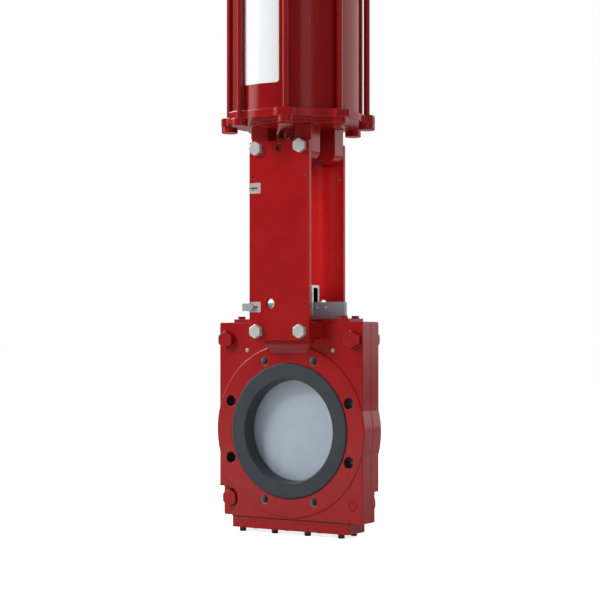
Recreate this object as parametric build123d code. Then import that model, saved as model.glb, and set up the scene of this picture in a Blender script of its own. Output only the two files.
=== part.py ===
"""Knife gate valve for slurry, nominal bore 200, with a pneumatic cylinder.

Millimetres. The origin is the centre of the bore on the plane where the two body halves
meet. +Z points up along the gate's travel, the pipeline runs along Y and the front of the
valve faces -Y. The valve stands closed, with the gate across the bore.
"""

import math
import os

from build123d import *

# Pipe flange: nominal size 200, drilled for eight M20 bolts
flange_d = 340.0
flange_bolt_margin = 22.5
flange_hole_count = 8
clearance_hole_d = 22.0
tapped_core_d = 17.5

# Rubber sleeves, one in each body half
sleeve_mouth_d = 202.6
sleeve_draft = 2.8
sleeve_wall = 12.7
sleeve_face_width = 31.0
sleeve_proud = 3.0
sleeve_seat_depth = 3.0
sleeve_edge_round = 2.5
stiffener_width = 10.0
stiffener_depth = 4.0
stiffener_inset = 7.0

# Gate
gate_t = 10.0
gate_seat_width = 12.5
gate_drop = 8.0
gate_rise = 32.3
gate_edge_chamfer = 2.5
open_margin = 11.7

# Cast body halves
half_depth = 34.0
flange_step = 2.5
side_bulge = 4.8
bulge_round = 25.0
neck_height = 42.8
foot_height = 3.5
corner_round = 3.0
outline_round = 1.5
disc_round = 2.0
parting_groove = 1.0
chamber_side_play = 2.0
chamber_face_play = 1.0
web_behind_thread = 4.0

# Bolts that hold the halves together
body_bolt_d = 20.0
body_bolt_flats = 30.0
body_bolt_head = 12.5
body_nut_height = 13.0
body_bolt_edge = 19.9
body_bolt_below_top = 34.3
body_bolt_above_foot = 35.3
pocket_r = 23.5
pocket_depth = 16.0
pocket_foot_width = 29.2

# Lubrication plugs beside the lugs
plug_d = 8.0
plug_x = 99.0
plug_below_top = 55.1
plug_depth = 9.0
plug_dome = 1.6

# Gland on top of the body
packing_depth = 22.0
packing_wall_x = 5.0
packing_wall_y = 8.0
gland_plate_t = 6.5
gland_margin_x = 14.7
gland_margin_y = 16.0
gland_screw_d = 8.0
gland_screw_flats = 13.0
gland_screw_head = 5.3
gland_screw_edge_x = 14.1
gland_screw_edge_y = 8.4
gland_screw_grip = 14.0
gland_edge_chamfer = 1.0

# Cover under the body
cover_t = 20.2
cover_margin_x = 22.0
cover_gasket_t = 1.8
cover_screw_d = 8.0
cover_screw_head_d = 13.0
cover_screw_head = 7.6
cover_screw_socket = 6.0
cover_screw_socket_depth = 3.8
cover_screw_chamfer = 0.8
cover_screw_edge = 21.0
cover_screw_y = 24.0
cover_screw_grip = 16.0
cover_screw_columns = 4
cover_edge_round = 1.5

# Yoke plates and the lugs that carry them
plate_half_x = 68.8
plate_t = 8.0
plate_standoff = 27.0
plate_edge_round = 1.2
plate_below_body_top = 35.6
plate_above_bolt = 13.3
lug_inset = 2.8
lug_flare = 6.0
lug_round = 3.0
yoke_bolt_x = 50.3
yoke_bolt_above_plate_foot = 17.4
yoke_bolt_d = 16.0
yoke_bolt_flats = 24.0
yoke_bolt_head = 10.0
yoke_bolt_grip = 22.0
lock_hole_d = 20.0
lock_hole_x = -20.5
lock_hole_above_foot = 71.0
sling_hole_d = 14.0
switch_hole_d = 5.0
switch_hole_edge = 10.0
switch_hole_low = 68.3
switch_hole_high = 318.7

# Clevis that joins the gate to the piston rod
clevis_half_x = 41.5
clevis_wall = 5.0
clevis_spacer_t = 3.0
clevis_rise = 33.4
clevis_grip = 25.1
clevis_block_half_x = 16.0
clevis_block_clear = 4.4
clevis_bolt_d = 12.0
clevis_bolt_flats = 18.0
clevis_bolt_head = 7.5
clevis_nut_height = 10.0
clevis_bolt_x = 25.0
clevis_bolt_below_top = 13.0
clevis_bolt_tail = 3.0
clevis_bend = 2.5

# Position pointer and its stickers
pointer_height = 14.5
pointer_t = 2.0
pointer_below_top = 9.6
pointer_overhang = 14.3
pointer_reach = 14.8
pointer_screw_edge = 3.5
pointer_arrow = 8.0
pointer_air = 5.0
pointer_bend = 2.6
pointer_root_gap = 1.5
gate_tap_d = 6.0
gate_tap_near = 49.0
gate_tap_far = 67.0
pointer_screw_head_d = 10.5
pointer_screw_head = 3.0
pointer_screw_round = 1.5
pointer_screw_socket_d = 4.0
pointer_screw_socket_floor = 1.0
sticker_w = 25.0
sticker_h = 20.5
sticker_t = 0.4
sticker_round = 2.0
sticker_edge_gap = 1.8

# Piston rod
rod_d = 40.0
rod_thread_d = 20.0
rod_nut_flats = 30.0
rod_nut_height = 10.0
rod_neck = 4.0
rod_flat_width = 34.0
rod_flat_length = 15.0
rod_tail_d = 30.0
rod_end_chamfer = 1.5
rod_tail_end = 3.0

# Cylinder
barrel_bore = 250.0
barrel_wall = 3.0
head_room = 33.7
cap_flange_t = 15.0
cap_flange_margin = 8.5
cap_rim_margin = 2.0
cap_rim_height = 3.3
cap_hub_r = 94.6
cap_hub_wall = 5.0
cap_hub_t = 16.0
cap_hub_foot_r = 40.0
cap_spigot = 10.0
cap_edge_round = 1.5
tie_rod_d = 12.0
tie_rod_count = 8
tie_rod_offset = 9.0
tie_lobe_reach = 14.7
tie_lobe_half = 18.3
tie_lobe_round = 7.0
tie_boss_r = 16.0
tie_boss_drop = 13.0
tie_boss_fillet = 9.0
tie_rod_grip = 22.0
tie_nut_flats = 19.0
tie_nut_height = 10.0
tie_washer_t = 2.5
tie_washer_r = 12.0
tie_rod_tail = 4.0
bolt_end_chamfer = 1.2
port_core_d = 11.8
port_depth = 34.0
port_pad_half = 16.0
port_pad_proud = 5.0
port_drill_d = 8.0
port_drill_inset = 6.0

# Feet under the lower end cap, which the yoke plates are bolted to
foot_half_width = 18.5
foot_depth = 33.5
foot_below_bolt = 26.2
flange_above_bolt = 50.2
foot_bolt_offset = 0.3
foot_edge_round = 1.0

# Rod gland in the lower end cap
gland_boss_r = 39.0
gland_boss_drop = 13.0
wiper_t = 7.0
wiper_wall = 5.5
rod_seal_t = 10.0
bushing_t = 30.0
bushing_wall = 4.8
gland_floor = 14.0

# Piston
piston_t = 30.0
piston_end_gap = 2.0
piston_seal_t = 8.0
piston_seal_depth = 6.0
piston_seal_above_foot = 20.0
piston_guide_t = 8.0
piston_guide_depth = 2.5
piston_guide_above_foot = 7.5
piston_nut_flats = 46.0
piston_nut_height = 15.0
nut_recess_r = 29.0
nut_recess_depth = 22.0
seal_cord_d = 4.0

# Label on the barrel
label_width = 80.0
label_offset = -4.5
label_height = 184.0
label_above_seam = 46.8
label_t = 0.4
label_round = 6.0

# Fits
slide_gap = 0.3
seat_gap = 0.1
hole_gap = 0.5
play = 0.15
overlap = 1.0

# Places worked out from the sizes above
flange_r = flange_d / 2
bolt_circle_r = flange_r - flange_bolt_margin
mouth_r = sleeve_mouth_d / 2
throat_r = mouth_r - sleeve_draft
sleeve_r = mouth_r + sleeve_wall
sleeve_face_r = mouth_r + sleeve_face_width
body_bore_r = sleeve_r + hole_gap
body_face = -half_depth + flange_step
body_half_x = flange_r - side_bulge
body_top = flange_r + neck_height
body_foot = -flange_r - foot_height
body_bolt_x = body_half_x - body_bolt_edge
body_bolt_top = body_top - body_bolt_below_top
body_bolt_low = body_foot + body_bolt_above_foot
gate_half_x = throat_r + gate_seat_width
gate_foot = -gate_drop - gate_half_x
gate_face = -gate_t / 2
gate_top = body_top + gland_plate_t + gate_rise
stroke = mouth_r - gate_foot + open_margin
chamber_half_x = gate_half_x + chamber_side_play
chamber_half_y = gate_t / 2 + chamber_face_play
tapped_depth = half_depth - chamber_half_y - web_behind_thread
packing_half_x = chamber_half_x + packing_wall_x
packing_half_y = chamber_half_y + packing_wall_y
packing_floor = body_top - packing_depth
gland_half_x = packing_half_x + gland_margin_x
gland_half_y = packing_half_y + gland_margin_y
cover_half_x = chamber_half_x + cover_margin_x
plug_z = body_top - plug_below_top
cover_top = body_foot - cover_gasket_t
cover_foot = cover_top - cover_t
plate_inner = half_depth + plate_standoff
plate_outer = plate_inner + plate_t
plate_foot = body_top - plate_below_body_top
lower_bolt_z = plate_foot + yoke_bolt_above_plate_foot
clevis_top = gate_top + clevis_rise
clevis_foot = gate_top - clevis_grip
clevis_half_y = gate_t / 2 + clevis_spacer_t + clevis_wall
clevis_bolt_z = gate_top - clevis_bolt_below_top
pointer_z = gate_top - pointer_below_top
pointer_face = -plate_outer - pointer_air
pointer_screw_side = gate_tap_far + pointer_screw_head_d / 2 + pointer_screw_edge
pointer_left = -max(plate_half_x + pointer_overhang, pointer_screw_side)
pointer_tip_x = -plate_half_x + pointer_reach
sticker_x = -plate_half_x + sticker_edge_gap + sticker_w / 2
upper_bolt_z = clevis_top + stroke + head_room
plate_top = upper_bolt_z + plate_above_bolt
cap_foot = upper_bolt_z + flange_above_bolt
hub_foot = cap_foot - cap_hub_t
cap_top = cap_foot + cap_flange_t
seam_z = cap_top + cap_rim_height
barrel_bore_r = barrel_bore / 2
barrel_r = barrel_bore_r + barrel_wall
cap_flange_r = barrel_r + cap_flange_margin
cap_rim_r = barrel_r + cap_rim_margin
spigot_r = barrel_bore_r - slide_gap
tie_circle_r = barrel_r + tie_rod_offset
barrel_length = 2 * (cap_spigot + piston_end_gap) + piston_t + stroke
barrel_top = seam_z + barrel_length
piston_foot = seam_z + cap_spigot + piston_end_gap
piston_top = piston_foot + piston_t
piston_r = barrel_bore_r - hole_gap
bushing_r = rod_d / 2 + bushing_wall
gland_foot = hub_foot - gland_boss_drop
seal_floor = gland_foot + gland_floor
label_foot = seam_z + label_above_seam
upper_cap_height = cap_rim_height + cap_flange_t
boss_top = barrel_top + upper_cap_height + tie_boss_drop
tie_angle = 180.0 / tie_rod_count
hex_chamfer_angle = 30.0


# Shapes that several pieces share

def block(x_from, x_to, y_from, y_to, z_from, z_to):
    """A rectangular block between two places along each axis."""
    centre = Pos((x_from + x_to) / 2, (y_from + y_to) / 2, (z_from + z_to) / 2)
    return centre * Box(abs(x_to - x_from), abs(y_to - y_from), abs(z_to - z_from))


def bar_y(radius, y_from, y_to, x=0.0, z=0.0):
    """A round bar along Y."""
    return Pos(x, (y_from + y_to) / 2, z) * Rot(90, 0, 0) * Cylinder(radius, abs(y_to - y_from))


def bar_z(radius, z_from, z_to, x=0.0, y=0.0):
    """A round bar along Z."""
    return Pos(x, y, (z_from + z_to) / 2) * Cylinder(radius, abs(z_to - z_from))


def ring_z(outer, inner, z_from, z_to):
    """A plain ring about the Z axis."""
    return bar_z(outer, z_from, z_to) - bar_z(inner, z_from - overlap, z_to + overlap)


def along_y(sketch, y_from, y_to):
    """An XZ outline given thickness from y_from to y_to, the larger of the two."""
    return extrude(Plane.XZ.offset(-y_to) * sketch, y_to - y_from, dir=(0, -1, 0))


def hexagon(flats, height):
    """A hexagon prism with its outer corners turned down, standing on Z = 0."""
    corner = flats / math.sqrt(3)
    drop = (corner - flats / 2) * math.tan(math.radians(hex_chamfer_angle))
    profile = Polygon(
        (0, 0),
        (corner, 0),
        (corner, height - drop),
        (flats / 2, height),
        (0, height),
        align=None,
    )
    turned = revolve(Plane.XZ * profile, Axis.Z)
    prism = extrude(RegularPolygon(corner, 6, rotation=30), height)
    return prism & turned


def hex_bolt(diameter, length, flats, head_height):
    """A bolt whose head stands on Z = 0 and whose shank runs down from there."""
    shank = chamfer(bar_z(diameter / 2, -length, 0).edges().group_by(Axis.Z)[0], bolt_end_chamfer)
    return hexagon(flats, head_height) + shank


def hex_nut(diameter, flats, height):
    """A nut that stands on Z = 0."""
    return hexagon(flats, height) - bar_z(diameter / 2 + seat_gap, -overlap, height + overlap)


def facing_front(piece, x, y, z):
    """A piece built along +Z, turned to point at -Y."""
    return Pos(x, y, z) * Rot(90, 0, 0) * piece


def facing_rear(piece, x, y, z):
    """A piece built along +Z, turned to point at +Y."""
    return Pos(x, y, z) * Rot(-90, 0, 0) * piece


def turned_about(piece):
    """The same piece on the other side of the valve."""
    return Rot(0, 0, 180) * piece


def group(pieces):
    """Separate solids kept in one node."""
    return Compound(children=list(pieces))


# Body

def body_outline(inset=0.0):
    """Straight sides with the round pipe flange bulging out at mid height."""
    width = 2 * (body_half_x - inset)
    height = body_top - body_foot - 2 * inset
    middle = (body_top + body_foot) / 2
    disc = Rot(0, 0, 90) * Circle(flange_r - inset)
    outline = Pos(0, middle) * Rectangle(width, height) + disc
    waist = [v for v in outline.vertices() if abs(v.Y) < flange_r / 2]
    outline = fillet(waist, bulge_round)
    corners = [v for v in outline.vertices() if abs(abs(v.X) - width / 2) < play and abs(v.Y) > flange_r / 2]
    return fillet(corners, corner_round)


def pocket_outline():
    """The corner recess round a lower body bolt, open to the side and the foot."""
    centre_x, centre_z = -body_bolt_x, body_bolt_low
    foot_x = -body_half_x + pocket_foot_width
    run_x, run_z = foot_x - centre_x, body_foot - centre_z
    reach = math.hypot(run_x, run_z)
    touch = math.atan2(run_z, run_x) + math.acos(pocket_r / reach)
    tangent = (centre_x + pocket_r * math.cos(touch), centre_z + pocket_r * math.sin(touch))
    slope = (tangent[0] - foot_x) / (tangent[1] - body_foot)
    below = body_foot - pocket_r
    side = -body_half_x - pocket_r
    wedge = Polygon(
        (centre_x, centre_z + pocket_r),
        (centre_x, centre_z),
        tangent,
        (foot_x + slope * (below - body_foot), below),
        (side, below),
        (side, centre_z + pocket_r),
        align=None,
    )
    return wedge + Pos(centre_x, centre_z) * Circle(pocket_r)


def plate_lug():
    """The block that carries a yoke plate: its sides spread towards the body, over a cove."""
    outer_half = plate_half_x - lug_inset
    middle = Pos(0, (body_top + plate_foot) / 2)
    height = body_top - plate_foot
    outer = middle * Rectangle(2 * outer_half, height)
    root = middle * Rectangle(2 * (outer_half + lug_flare), height)
    lug = loft([Plane.XZ.offset(plate_inner) * outer, Plane.XZ.offset(-body_face) * root])
    foot_edges = lug.edges().filter_by(lambda e: e.center().Z < body_top - play)
    outer_edges = foot_edges.filter_by(lambda e: e.center().Y > -plate_inner + play)
    slanted = outer_edges.filter_by(lambda e: e.center().Y < body_face - play)
    return fillet(slanted, lug_round) + lug_cove(outer_half - lug_round)


def lug_cove(half_width):
    """The hollow curve from the lug's foot to the flange face, narrowing as it falls."""
    radius = plate_inner - half_depth + play
    low = plate_foot - radius
    above = plate_foot + overlap
    front = Polygon(
        (-half_width, above),
        (half_width, above),
        (half_width, plate_foot),
        (half_width - radius, low),
        (radius - half_width, low),
        (-half_width, plate_foot),
        align=None,
    )
    curve = Pos(0, -plate_inner, low) * Rot(0, 90, 0) * Cylinder(radius, 2 * half_width + overlap)
    return along_y(front, -plate_inner, body_face + overlap) - curve


def body_half():
    """The front casting. The rear one is the same casting turned about."""
    plate = along_y(body_outline(), body_face, -parting_groove)
    plate = fillet(plate.faces().sort_by(Axis.Y)[0].outer_wire().edges(), outline_round)
    lip = along_y(body_outline(parting_groove), -parting_groove, 0)
    disc = bar_y(flange_r, -half_depth, body_face / 2)
    disc = fillet(disc.edges().sort_by(Axis.Y)[0], disc_round)
    root = block(-plate_half_x, plate_half_x, body_face, body_face / 2, body_foot + neck_height, body_top)
    half = plate + lip + disc + root + plate_lug()
    front, below, above = -half_depth - overlap, body_foot - overlap, body_top + overlap
    half -= bar_y(sleeve_face_r + hole_gap, front, -half_depth + sleeve_seat_depth)
    half -= bar_y(body_bore_r, front, overlap)
    half -= block(-chamber_half_x, chamber_half_x, -chamber_half_y, overlap, below, above)
    half -= block(-packing_half_x, packing_half_x, -packing_half_y, overlap, packing_floor, above)
    half -= along_y(pocket_outline(), front, body_face + pocket_depth)
    for x, z in flange_holes():
        if abs(x) > abs(z):
            half -= bar_y(clearance_hole_d / 2, front, overlap, x, z)
        else:
            half -= bar_y(tapped_core_d / 2, front, -half_depth + tapped_depth, x, z)
    for x, z in body_bolt_places():
        half -= bar_y(body_bolt_d / 2 + seat_gap, front, overlap, x, z)
    for x in (-plug_x, plug_x):
        half -= bar_y(plug_d / 2 + seat_gap, body_face - overlap, body_face + plug_depth, x, plug_z)
    for x in (-yoke_bolt_x, yoke_bolt_x):
        half -= bar_y(yoke_bolt_d / 2 + seat_gap, -plate_inner - overlap, yoke_tap_floor(), x, lower_bolt_z)
    for x, y in gland_screw_places():
        if y < 0:
            half -= bar_z(gland_screw_d / 2 + seat_gap, body_top - gland_screw_grip - overlap, above, x, y)
    for x, y in cover_screw_places():
        if y < 0:
            half -= bar_z(cover_screw_d / 2 + seat_gap, below, body_foot + cover_screw_grip + overlap, x, y)
    return half


def flange_holes():
    """Centres of the pipe bolts, straddling the valve's upright centre line."""
    step = 2 * math.pi / flange_hole_count
    angles = [(index + 0.5) * step for index in range(flange_hole_count)]
    return [(bolt_circle_r * math.cos(a), bolt_circle_r * math.sin(a)) for a in angles]


def body_bolt_places():
    """Centres of the four bolts that clamp the halves."""
    return [(x, z) for x in (-body_bolt_x, body_bolt_x) for z in (body_bolt_top, body_bolt_low)]


def yoke_tap_floor():
    """How deep the yoke bolt holes reach, along Y."""
    return -plate_inner + yoke_bolt_grip + overlap


def gland_screw_places():
    """Centres of the gland screws: the four corners and the middle of each long side."""
    half_x = gland_half_x - gland_screw_edge_x
    half_y = gland_half_y - gland_screw_edge_y
    return [(x, y) for x in (-half_x, 0.0, half_x) for y in (-half_y, half_y)]


def cover_screw_places():
    """Centres of the cover screws: two rows with even spacing."""
    half_x = cover_half_x - cover_screw_edge
    pitch = 2 * half_x / (cover_screw_columns - 1)
    columns = [-half_x + index * pitch for index in range(cover_screw_columns)]
    return [(x, y) for x in columns for y in (-cover_screw_y, cover_screw_y)]


front_body_half = body_half()
rear_body_half = turned_about(front_body_half)


def upper_body_bolt(x):
    """A bolt through both halves with its head at the front."""
    length = -2 * body_face + body_nut_height + overlap
    bolt = hex_bolt(body_bolt_d, length, body_bolt_flats, body_bolt_head)
    return facing_front(bolt, x, body_face, body_bolt_top)


def lower_body_bolt():
    """A bolt in the corner pocket whose thread ends flush with the far casting."""
    floor = body_face + pocket_depth
    bolt = hex_bolt(body_bolt_d, -body_face - floor, body_bolt_flats, body_bolt_head)
    return facing_front(bolt, -body_bolt_x, floor, body_bolt_low)


upper_body_bolts = group(upper_body_bolt(x) for x in (-body_bolt_x, body_bolt_x))
body_nut = hex_nut(body_bolt_d, body_bolt_flats, body_nut_height)
upper_body_nuts = group(
    facing_rear(body_nut, x, -body_face, body_bolt_top) for x in (-body_bolt_x, body_bolt_x)
)
lower_body_bolts = group([lower_body_bolt(), turned_about(lower_body_bolt())])


def port_plug():
    """A round plug with a shallow dome, its seat on Z = 0."""
    dome_r = (plug_d ** 2 / 4 + plug_dome ** 2) / (2 * plug_dome)
    dome = Pos(0, 0, plug_dome - dome_r) * Sphere(dome_r)
    return bar_z(plug_d / 2, -plug_depth, plug_dome) & (dome + bar_z(plug_d, -plug_depth, 0))


front_plugs = [facing_front(port_plug(), x, body_face, plug_z) for x in (-plug_x, plug_x)]
port_plugs = group(front_plugs + [turned_about(plug) for plug in front_plugs])


# Sleeves

def sleeve():
    """The front rubber sleeve: a face ring for the pipe flange and a nose on the gate."""
    face = -half_depth - sleeve_proud
    seat = -half_depth + sleeve_seat_depth
    groove_from = seat + stiffener_inset
    groove_to = groove_from + stiffener_width
    nose = gate_face - slide_gap
    groove_r = sleeve_r - stiffener_depth
    profile = Polygon(
        (mouth_r, face),
        (sleeve_face_r, face),
        (sleeve_face_r, seat),
        (sleeve_r, seat),
        (sleeve_r, groove_from),
        (groove_r, groove_from),
        (groove_r, groove_to),
        (sleeve_r, groove_to),
        (sleeve_r, nose),
        (throat_r, nose),
        align=None,
    )
    rims = [v for v in profile.vertices() if v.Y < face + play or v.Y > nose - play]
    return revolve(fillet(rims, sleeve_edge_round), Axis.Y)


def stiffener():
    """The steel ring in the sleeve's groove, held between the rubber and the casting."""
    start = -half_depth + sleeve_seat_depth + stiffener_inset + play
    end = start + stiffener_width - 2 * play
    outer = bar_y(body_bore_r - seat_gap, start, end)
    return outer - bar_y(sleeve_r - stiffener_depth + seat_gap, start - overlap, end + overlap)


front_sleeve = sleeve()
rear_sleeve = turned_about(front_sleeve)
front_sleeve_ring = stiffener()
rear_sleeve_ring = turned_about(front_sleeve_ring)


# Gland and cover

packing_outer = block(
    -packing_half_x + play, packing_half_x - play, -packing_half_y + play, packing_half_y - play,
    packing_floor, body_top,
)
gate_x = gate_half_x + slide_gap
gate_y = gate_t / 2 + slide_gap
gate_slot = block(-gate_x, gate_x, -gate_y, gate_y, packing_floor - overlap, body_top + overlap)
gland_packing = packing_outer - gate_slot


def gland():
    """The plate that presses the packing down, slotted for the gate."""
    top = body_top + gland_plate_t
    plate = block(-gland_half_x, gland_half_x, -gland_half_y, gland_half_y, body_top, top)
    plate = fillet(plate.edges().filter_by(Axis.Z), corner_round)
    plate = chamfer(plate.faces().sort_by(Axis.Z)[-1].outer_wire().edges(), gland_edge_chamfer)
    plate -= block(
        -chamber_half_x, chamber_half_x, -chamber_half_y, chamber_half_y, body_top - overlap, top + overlap
    )
    for x, y in gland_screw_places():
        plate -= bar_z(gland_screw_d / 2 + hole_gap, body_top - overlap, top + overlap, x, y)
    return plate


gland_plate = gland()
gland_screw = hex_bolt(gland_screw_d, gland_plate_t + gland_screw_grip, gland_screw_flats, gland_screw_head)
gland_screws = group(Pos(x, y, body_top + gland_plate_t) * gland_screw for x, y in gland_screw_places())


def cover_layer(z_from, z_to, edge_round):
    """A plate under the body with holes for the cover screws."""
    layer = block(-cover_half_x, cover_half_x, body_face, -body_face, z_from, z_to)
    layer = fillet(layer.edges().filter_by(Axis.Z), edge_round)
    for x, y in cover_screw_places():
        layer -= bar_z(cover_screw_d / 2 + hole_gap, z_from - overlap, z_to + overlap, x, y)
    return layer


def cover():
    """The bottom cover, with a shallow flushing trough under the gate."""
    plate = cover_layer(cover_foot, cover_top, corner_round)
    rim = plate.faces().sort_by(Axis.Z)[0].outer_wire().edges()
    plate = fillet(rim, cover_edge_round)
    trough = Pos(0, 0, cover_top) * Rot(0, 90, 0) * Cylinder(chamber_half_y, 2 * chamber_half_x)
    return plate - trough


def gasket():
    """The flat gasket over the cover, open where the gate chamber is."""
    sheet = cover_layer(cover_top, body_foot, corner_round)
    low, high = cover_top - overlap, body_foot + overlap
    return sheet - block(-chamber_half_x, chamber_half_x, -chamber_half_y, chamber_half_y, low, high)


def cap_screw():
    """A socket cap screw that points up, its seat on Z = 0."""
    head = bar_z(cover_screw_head_d / 2, -cover_screw_head, 0)
    head = chamfer(head.edges().group_by(Axis.Z)[0], cover_screw_chamfer)
    socket = Pos(0, 0, -cover_screw_head - overlap) * RegularPolygon(
        cover_screw_socket / 2, 6, major_radius=False
    )
    socket = extrude(socket, overlap + cover_screw_socket_depth)
    shank = bar_z(cover_screw_d / 2, 0, cover_t + cover_gasket_t + cover_screw_grip)
    return head + shank - socket


bottom_cover = cover()
bottom_gasket = gasket()
bottom_screws = group(Pos(x, y, cover_foot) * cap_screw() for x, y in cover_screw_places())


# Gate and what rides with it

def knife_gate():
    """The flat gate with a round, bevelled foot."""
    blade = block(-gate_half_x, gate_half_x, gate_face, -gate_face, -gate_drop, gate_top)
    blade += bar_y(gate_half_x, gate_face, -gate_face, 0, -gate_drop)
    foot_edges = blade.edges().filter_by(lambda e: e.center().Z < -gate_drop - play)
    rim = foot_edges.filter_by(lambda e: abs(e.center().Y) > play)
    blade = chamfer(rim, gate_edge_chamfer)
    front, rear = gate_face - overlap, -gate_face + overlap
    for side in (-1, 1):
        for x in (gate_tap_near, gate_tap_far):
            blade -= bar_y(gate_tap_d / 2 + seat_gap, front, rear, side * x, pointer_z)
        blade -= bar_y(clevis_bolt_d / 2 + seat_gap, front, rear, side * clevis_bolt_x, clevis_bolt_z)
    return blade


def clevis():
    """A downward channel astride the gate, with a block inside for the rod's thread."""
    inner_y = clevis_half_y - clevis_wall
    web_foot = clevis_top - clevis_wall
    channel = block(-clevis_half_x, clevis_half_x, -clevis_half_y, clevis_half_y, clevis_foot, clevis_top)
    bends = channel.edges().filter_by(Axis.X).group_by(Axis.Z)[-1]
    channel = fillet(bends, clevis_bend)
    beyond = clevis_half_x + overlap
    channel -= block(-beyond, beyond, -inner_y, inner_y, clevis_foot - overlap, web_foot)
    channel += block(
        -clevis_block_half_x, clevis_block_half_x, -inner_y, inner_y, gate_top + clevis_block_clear, web_foot
    )
    channel -= bar_z(rod_thread_d / 2 + seat_gap, gate_top, clevis_top + overlap)
    for x in (-clevis_bolt_x, clevis_bolt_x):
        channel -= bar_y(
            clevis_bolt_d / 2 + seat_gap, -clevis_half_y - overlap, clevis_half_y + overlap, x, clevis_bolt_z
        )
    return channel


def clevis_spacer():
    """The packer that fills the room between the gate and one leg of the clevis."""
    near = -gate_face
    strip = block(-clevis_half_x, clevis_half_x, near, near + clevis_spacer_t, clevis_foot, gate_top)
    for x in (-clevis_bolt_x, clevis_bolt_x):
        strip -= bar_y(
            clevis_bolt_d / 2 + seat_gap, near - overlap, near + clevis_spacer_t + overlap, x, clevis_bolt_z
        )
    return strip


gate = knife_gate()
gate_clevis = clevis()
clevis_spacers = group([clevis_spacer(), turned_about(clevis_spacer())])
clevis_bolt_length = 2 * clevis_half_y + clevis_nut_height + clevis_bolt_tail
clevis_bolt = hex_bolt(clevis_bolt_d, clevis_bolt_length, clevis_bolt_flats, clevis_bolt_head)
clevis_nut = hex_nut(clevis_bolt_d, clevis_bolt_flats, clevis_nut_height)
clevis_bolts = group(
    facing_front(clevis_bolt, x, -clevis_half_y, clevis_bolt_z) for x in (-clevis_bolt_x, clevis_bolt_x)
)
clevis_nuts = group(
    facing_rear(clevis_nut, x, clevis_half_y, clevis_bolt_z) for x in (-clevis_bolt_x, clevis_bolt_x)
)


def pointer():
    """A strip from the gate round the edge of the front plate, ending in an arrow."""
    root_x = -clevis_half_x - pointer_root_gap
    front = pointer_face - pointer_t
    low = pointer_z - pointer_height / 2
    high = pointer_z + pointer_height / 2
    strip = block(pointer_left, root_x, front, gate_face, low, high)
    strip = fillet(strip.edges().filter_by(Axis.Z).group_by(Axis.X)[0], pointer_bend + pointer_t)
    hollow = block(pointer_left + pointer_t, root_x + overlap, pointer_face, gate_face - pointer_t, low, high)
    hollow = fillet(hollow.edges().filter_by(Axis.Z).group_by(Axis.X)[0], pointer_bend)
    strip -= hollow
    shoulder_x = pointer_tip_x - pointer_arrow
    arrow = Polygon(
        (shoulder_x, high),
        (pointer_tip_x, pointer_z),
        (shoulder_x, low),
        (pointer_left, low),
        (pointer_left, high),
        align=None,
    )
    rear = block(pointer_left, root_x, pointer_face + play, gate_face, low, high)
    strip = strip & (along_y(arrow, front, pointer_face + play) + rear)
    for x in (-gate_tap_near, -gate_tap_far):
        hole_front = gate_face - pointer_t - overlap
        strip -= bar_y(gate_tap_d / 2 + play, hole_front, gate_face + overlap, x, pointer_z)
    return strip


def button_screw():
    """A low round-headed screw, its seat on Z = 0."""
    length = pointer_t + gate_t
    head = bar_z(pointer_screw_head_d / 2, 0, pointer_screw_head)
    head = fillet(head.edges().group_by(Axis.Z)[-1], pointer_screw_round)
    socket = Pos(0, 0, pointer_screw_socket_floor) * RegularPolygon(pointer_screw_socket_d / 2, 6)
    socket = extrude(socket, pointer_screw_head)
    return head + bar_z(gate_tap_d / 2, -length, 0) - socket


pointer_bracket = pointer()
pointer_screws = group(
    facing_front(button_screw(), -x, gate_face - pointer_t, pointer_z) for x in (gate_tap_near, gate_tap_far)
)


# Yoke

def yoke_plate():
    """The front plate. The rear one is the same plate turned about."""
    plate = block(-plate_half_x, plate_half_x, -plate_outer, -plate_inner, plate_foot, plate_top)
    plate = fillet(plate.edges().filter_by(Axis.Y), corner_round)
    plate = fillet(plate.faces().sort_by(Axis.Y)[0].outer_wire().edges(), plate_edge_round)
    far = -plate_outer - overlap
    near = -plate_inner + overlap
    for x in (-yoke_bolt_x, yoke_bolt_x):
        for z in (lower_bolt_z, upper_bolt_z):
            plate -= bar_y(yoke_bolt_d / 2 + hole_gap, far, near, x, z)
    for x in (-plate_half_x + switch_hole_edge, plate_half_x - switch_hole_edge):
        for z in (plate_foot + switch_hole_low, plate_foot + switch_hole_high):
            plate -= bar_y(switch_hole_d / 2, far, near, x, z)
    plate -= bar_y(lock_hole_d / 2, far, near, lock_hole_x, plate_foot + lock_hole_above_foot)
    plate -= bar_y(sling_hole_d / 2, far, near, 0, upper_bolt_z)
    return plate


front_yoke_plate = yoke_plate()
rear_yoke_plate = turned_about(front_yoke_plate)
yoke_bolt = hex_bolt(yoke_bolt_d, plate_t + yoke_bolt_grip, yoke_bolt_flats, yoke_bolt_head)


def yoke_bolt_set(z):
    """The two bolts at one height on each plate."""
    front = [facing_front(yoke_bolt, x, -plate_outer, z) for x in (-yoke_bolt_x, yoke_bolt_x)]
    return group(front + [turned_about(bolt) for bolt in front])


yoke_lower_bolts = yoke_bolt_set(lower_bolt_z)
yoke_upper_bolts = yoke_bolt_set(upper_bolt_z)


def sticker(z):
    """A thin label with round corners on the front plate, under the pointer's tip."""
    face = Pos(sticker_x, z) * RectangleRounded(sticker_w, sticker_h, sticker_round)
    return along_y(face, -plate_outer - sticker_t, -plate_outer)


position_stickers = group([sticker(pointer_z), sticker(pointer_z + stroke)])


# Cylinder

def tie_rod_places():
    """Where the tie rods stand round the barrel, local X pointing outwards."""
    return PolarLocations(tie_circle_r, tie_rod_count, start_angle=tie_angle)


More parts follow.
